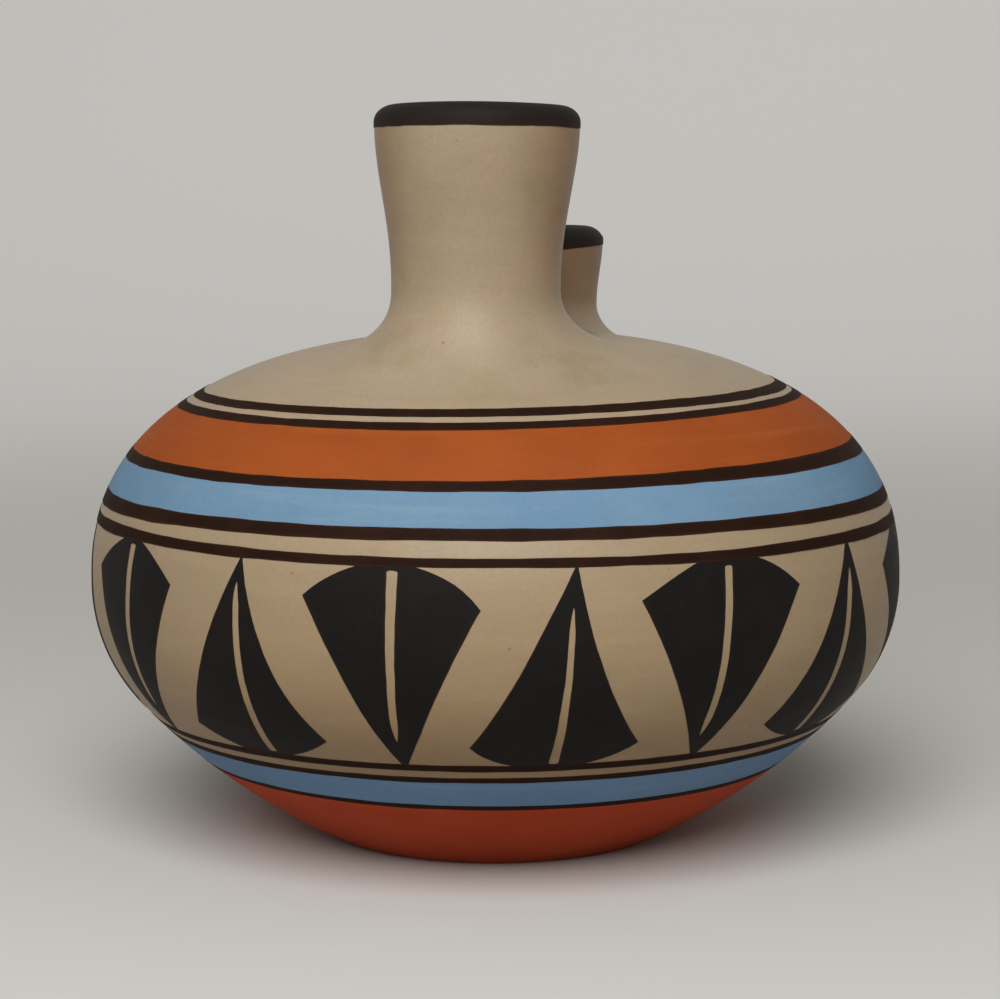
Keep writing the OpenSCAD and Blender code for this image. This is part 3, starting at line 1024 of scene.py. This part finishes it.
def add_plate(work, layers, kind, own, wide, tip):
    """Adds a flat feather as a thin plate, from its tip to the line at its wide end, split by its slit."""
    sign = 1 if wide > tip else -1
    half = kind["width"] / 2
    full = abs(wide - tip) + kind["tip_lap"]
    slit_from = own["slit_from"] + kind["tip_lap"]
    slit_to = full - own["slit_to"]
    columns = feather_columns
    slit_end = [slit_to - slit_round * part for part in slit_end_parts]
    shares = [i / feather_rows for i in range(feather_rows + 1)]
    shares += [run / (full + crown_lap) for run in slit_end]
    shares.sort()
    rows = len(shares) - 1

    def side(share, hand):
        i = 0 if hand < 0 else 1
        hollow = kind["hollow"][i] + own["hollow"][i]
        return half * share - hollow * 4 * share * (1 - share)

    def middle(share):
        at_tip, at_wide = own["drift"]
        return (at_tip + (at_wide - at_tip) * share) * min(1.0, share / quill_swing)

    def slit(share):
        run = share * (full + crown_lap)
        if not slit_from < run < slit_to:
            return 0.0
        opening = min(1.0, (run - slit_from) / slit_point) ** slit_opening
        closing = min(1.0, (slit_to - run) / slit_round) ** slit_closing
        along = (run - slit_from) / (slit_to - slit_from)
        share_left = own["slit_keep"] + (1 - own["slit_keep"]) * along
        return own["slit_w"] / 2 * share_left * opening * closing

    def crown(hand, j):
        middle_x = hand * middle(1.0)
        x = middle_x + (half - middle_x) * j / columns
        curve = kind["crown_curve"] + own["flat"][0 if hand < 0 else 1] * j / columns
        return (kind["drop"] + crown_lap) * (abs(x) / half) ** curve - crown_lap

    def point(hand, i, j, height):
        share = shares[i]
        inner = min(hand * middle(share) + slit(share), side(share, hand))
        x = inner + (side(share, hand) - inner) * j / columns
        run = share * (full - crown(hand, j))
        return (hand * x, tip + sign * (run - kind["tip_lap"]), height)

    made = []
    grid = [(i, j) for i in range(rows + 1) for j in range(columns + 1)]
    open_rows = [i for i in range(rows + 1) if slit(shares[i]) > 0]
    outer_rim = [(i, columns) for i in range(rows + 1)] + [(rows, j) for j in range(columns - 1, -1, -1)]
    slit_rim = [(i, 0) for i in range(open_rows[0] - 1, open_rows[-1] + 2)]
    for hand in (-1, 1):
        top = {spot: work.verts.new(point(hand, *spot, feather_t)) for spot in grid}
        under = {spot: work.verts.new(point(hand, *spot, -sunk)) for spot in grid}
        for sheet in (top, under):
            for i in range(rows):
                for j in range(columns):
                    work.faces.new((sheet[i, j], sheet[i + 1, j], sheet[i + 1, j + 1], sheet[i, j + 1]))
        for rim in (outer_rim, slit_rim):
            for here, there in zip(rim, rim[1:]):
                work.faces.new((top[here], top[there], under[there], under[here]))
            for spot in rim:
                top[spot][layers["edge"]] = 1.0
        made += list(top.values()) + list(under.values())
    for vert in made:
        for name in ("turn", "lean", "stretch", "slant"):
            vert[layers[name]] = own[name]
    bmesh.ops.remove_doubles(work, verts=made, dist=weld)


def feather_plates(kind, wide, tip, own_ways):
    """All feathers of a kind, flat and still on one spot, each marked with its turn and way of lying."""
    work = bmesh.new()
    names = ("edge", "turn", "lean", "stretch", "slant")
    layers = {name: work.verts.layers.float.new(name) for name in names}
    for own in own_ways:
        add_plate(work, layers, kind, own, wide, tip)
    bmesh.ops.dissolve_degenerate(work, edges=work.edges, dist=weld / 2)
    mesh = bpy.data.meshes.new(kind["name"])
    work.to_mesh(mesh)
    work.free()
    return mesh


def feathers(frieze):
    """The frieze: feathers rising from the bottom line between feathers hanging from the top line."""
    high, low = frieze
    wall_line = add("wall_line", profile_mesh("wall_line", wall_path))
    pitch = 360 / feather_pairs
    rising = [
        feather(
            turn=-1.0, lean=0.087, stretch=0.96,
            slit=(2.25, 0.55), ends=(8.8, 0.3), drift=(-0.75, 0.7), hollow=(0.0, 0.5), flat=(0.8, 0.4),
        ),
        feather(
            turn=-0.7, lean=0.01, stretch=1.08,
            slit=(2.5, 0.82), ends=(6.4, 0.3), drift=(0.1, -3.2),
        ),
        feather(turn=0.5, lean=-0.03, stretch=1.02, slant=0.02),
        feather(turn=-0.4, lean=0.02, stretch=0.98, ends=(6.0, 0.4)),
        feather(turn=0.6, lean=0.04, stretch=1.0, slant=-0.02, drift=(0.3, -0.5)),
        feather(turn=-0.3, lean=-0.04, stretch=1.03, ends=(8.0, 0.6)),
        feather(turn=0.2, lean=0.03, stretch=0.99, slant=0.01),
        feather(
            turn=-0.2, lean=0.055, stretch=0.97,
            slit=(2.2, 0.78), ends=(5.2, 0.3), drift=(-0.8, 2.3), hollow=(0.2, -0.6),
        ),
    ]
    hanging = [
        feather(
            turn=-0.8, lean=0.0, stretch=0.99, slant=-0.055,
            slit=(2.45, 0.64), ends=(8.0, 0.7), drift=(-0.6, 0.65), hollow=(0.9, 0.75), flat=(0.5, 1.2),
        ),
        feather(
            turn=-2.15, lean=0.02, stretch=1.05,
            slit=(1.9, 0.95), ends=(6.4, 1.8), drift=(-1.6, 0.6), hollow=(-0.2, 1.1), flat=(-0.2, 0.4),
        ),
        feather(turn=0.9, lean=-0.02, stretch=1.08, slant=0.02, slit=(1.9, 0.9)),
        feather(turn=-0.5, lean=0.03, stretch=1.0, drift=(0.4, -0.3)),
        feather(turn=0.6, lean=-0.03, stretch=0.97, slant=-0.02, ends=(6.4, 1.0)),
        feather(turn=-0.2, lean=0.02, stretch=1.01, drift=(-0.4, 0.4)),
        feather(turn=-0.4, lean=0.04, stretch=1.0, slant=0.02),
        feather(
            turn=-1.3, lean=0.06, stretch=0.96,
            slit=(2.7, 0.8), drift=(0.9, 0.8), hollow=(0.4, -1.3),
        ),
    ]
    kinds = [
        (RISING, low, high, first_turn, rising),
        (HANGING, high, low, first_turn - pitch / 2, hanging),
    ]
    for kind, wide, tip, start, own_ways in kinds:
        for number, own in enumerate(own_ways):
            own["turn"] = math.radians(start + pitch * number + own["turn"])
        inputs = {
            "Wall": wall_line,
            "Frieze Middle": (high + low) / 2,
            "Tremor": feather_tremor,
            "Seed": kind["seed"],
            "Finish": black_figure_slip,
        }
        mesh = shaped(kind["name"], feather_plates(kind, wide, tip, own_ways), feathers_on_wall, inputs)
        piece(kind["name"], closed(mesh))
    bpy.data.objects.remove(wall_line)


cutters = [spout_hole(TALL), spout_hole(SHORT), pot_hollow()]
pot(cutters)
for spout in (TALL, SHORT):
    spout_piece(spout)
    coil_piece(spout)
for cutter in cutters:
    bpy.data.objects.remove(cutter)
lip_slip(TALL, seed=3.0)
lip_slip(SHORT, seed=11.0)
feathers(painted_bands())


# Studio

def studio():
    """A pale floor that curves up into the backdrop, a big soft lamp over the front and a pale room."""
    reach = 4.0
    bend_y = 1.2
    bend_r = 0.6
    bend_parts = 12
    top = 3.0
    bends = [math.pi / 2 * i / bend_parts for i in range(bend_parts + 1)]
    curve = [(bend_y + bend_r * math.sin(bend), bend_r - bend_r * math.cos(bend)) for bend in bends]
    profile = [(-reach, 0.0)] + curve + [(bend_y + bend_r, top)]
    points = [(x, y, z) for x in (-reach, reach) for y, z in profile]
    count = len(profile)
    faces = [(i, count + i, count + i + 1, i + 1) for i in range(count - 1)]
    floor = add("floor", mesh_of("floor", points, (), faces))
    for face in floor.data.polygons:
        face.use_smooth = True
    floor.data.materials.append(floor_finish())
    bpy.context.scene.world = pale_room()
    soft_lamp("over_front", place=(0.0, -1.01, 0.93), size=1.0, power=16.4)


def seen_rays(tree):
    """1 for rays that show the background, in sight or in a reflection, and 0 for the light it throws."""
    seen = 0.0
    for ray in ("Is Camera Ray", "Is Glossy Ray", "Is Transmission Ray"):
        seen = seen + tree.node("ShaderNodeLightPath", out=ray)
    return seen


def pale_room():
    """The room round the floor: dim warm light from all sides, and a pale wall to look at."""
    world = bpy.data.worlds.new("pale_room")
    world.use_nodes = True
    room = Tree(world.node_tree)
    light = room.node("ShaderNodeBackground", {}, {"Color": (1.0, 0.96, 0.88, 1.0), "Strength": 0.26})
    wall = room.node("ShaderNodeBackground", {}, {"Color": linear(178, 177, 174), "Strength": 1.0})
    both = room.node("ShaderNodeMixShader", {}, {0: seen_rays(room), 1: light, 2: wall})
    room.feed(world.node_tree.nodes["World Output"].inputs["Surface"], both)
    return world


def floor_finish():
    """Pale to look at, most of all further out, but darker to the light that it throws up at the pot."""
    pale = Finish("pale_floor")
    seen = seen_rays(pale)
    grain = pale.noise(pale.here, scale=240.0)
    x, y, _ = pale.here.parts()
    spot_y = -1.0
    from_spot = (x * x + (y - spot_y) * (y - spot_y)) ** 0.5
    # Painted shade: the floor darker round the foot of the lamp, against its pool of light, in sight and in
    # reflections
    painted_shade_under_lamp = pale.step(from_spot, 0.75, 0.2)
    shown = pale.mixed(painted_shade_under_lamp, linear(216, 214, 210), linear(140, 139, 136))
    colour = pale.mixed(seen, linear(160, 157, 153), shown)
    # Painted light: the floor further back glows, in sight and in reflections only, so that it stays pale
    back = pale.step((x * x + y * y) ** 0.5, 0.2, 1.4) * (1.0 - painted_shade_under_lamp)
    pale.shader.inputs["Emission Strength"].default_value = 1.0
    glow = pale.mixed(seen * back, linear(0, 0, 0), linear(138, 138, 137))
    pale.feed(pale.shader.inputs["Emission Color"], glow)
    roughness = 0.75 + (grain - 0.5) * 0.1
    return pale.done(colour, roughness, grain, distance=0.1 * MM, strength=0.2)


def soft_lamp(name, place, size, power):
    """A round lamp that looks at the middle of the vase."""
    middle = Vector((0, 0, 0.09))
    lamp = bpy.data.lights.new(name, "AREA")
    lamp.shape = "DISK"
    lamp.size = size
    lamp.energy = power
    made = bpy.data.objects.new(name, lamp)
    made.location = place
    aim = middle - Vector(place)
    made.rotation_euler = aim.to_track_quat("-Z", "Y").to_euler()
    bpy.context.scene.collection.objects.link(made)


def camera():
    """The viewer's place: a little lower than the tall mouth and to its right, looking slightly down."""
    distance = 644.57 * MM
    height = 161.7 * MM
    round_by = math.radians(6.6)
    aside = math.radians(0.110)
    down = math.radians(7.055)
    tilt = math.radians(-0.407)
    sensor_w = 36
    focal_pixels = 2600
    picture_w = 1000
    lens = bpy.data.cameras.new("camera")
    lens.sensor_width = sensor_w
    lens.lens = sensor_w * focal_pixels / picture_w
    made = bpy.data.objects.new("camera", lens)
    turn = Matrix.Rotation(round_by - aside, 4, "Z")
    look = Matrix.Rotation(math.pi / 2 - down, 4, "X")
    roll = Matrix.Rotation(tilt, 4, "Z")
    place = Vector((distance * math.sin(round_by), -distance * math.cos(round_by), height))
    made.matrix_world = Matrix.Translation(place) @ turn @ look @ roll
    bpy.context.scene.collection.objects.link(made)
    bpy.context.scene.camera = made


studio()
camera()
bpy.context.scene.view_settings.view_transform = "Standard"
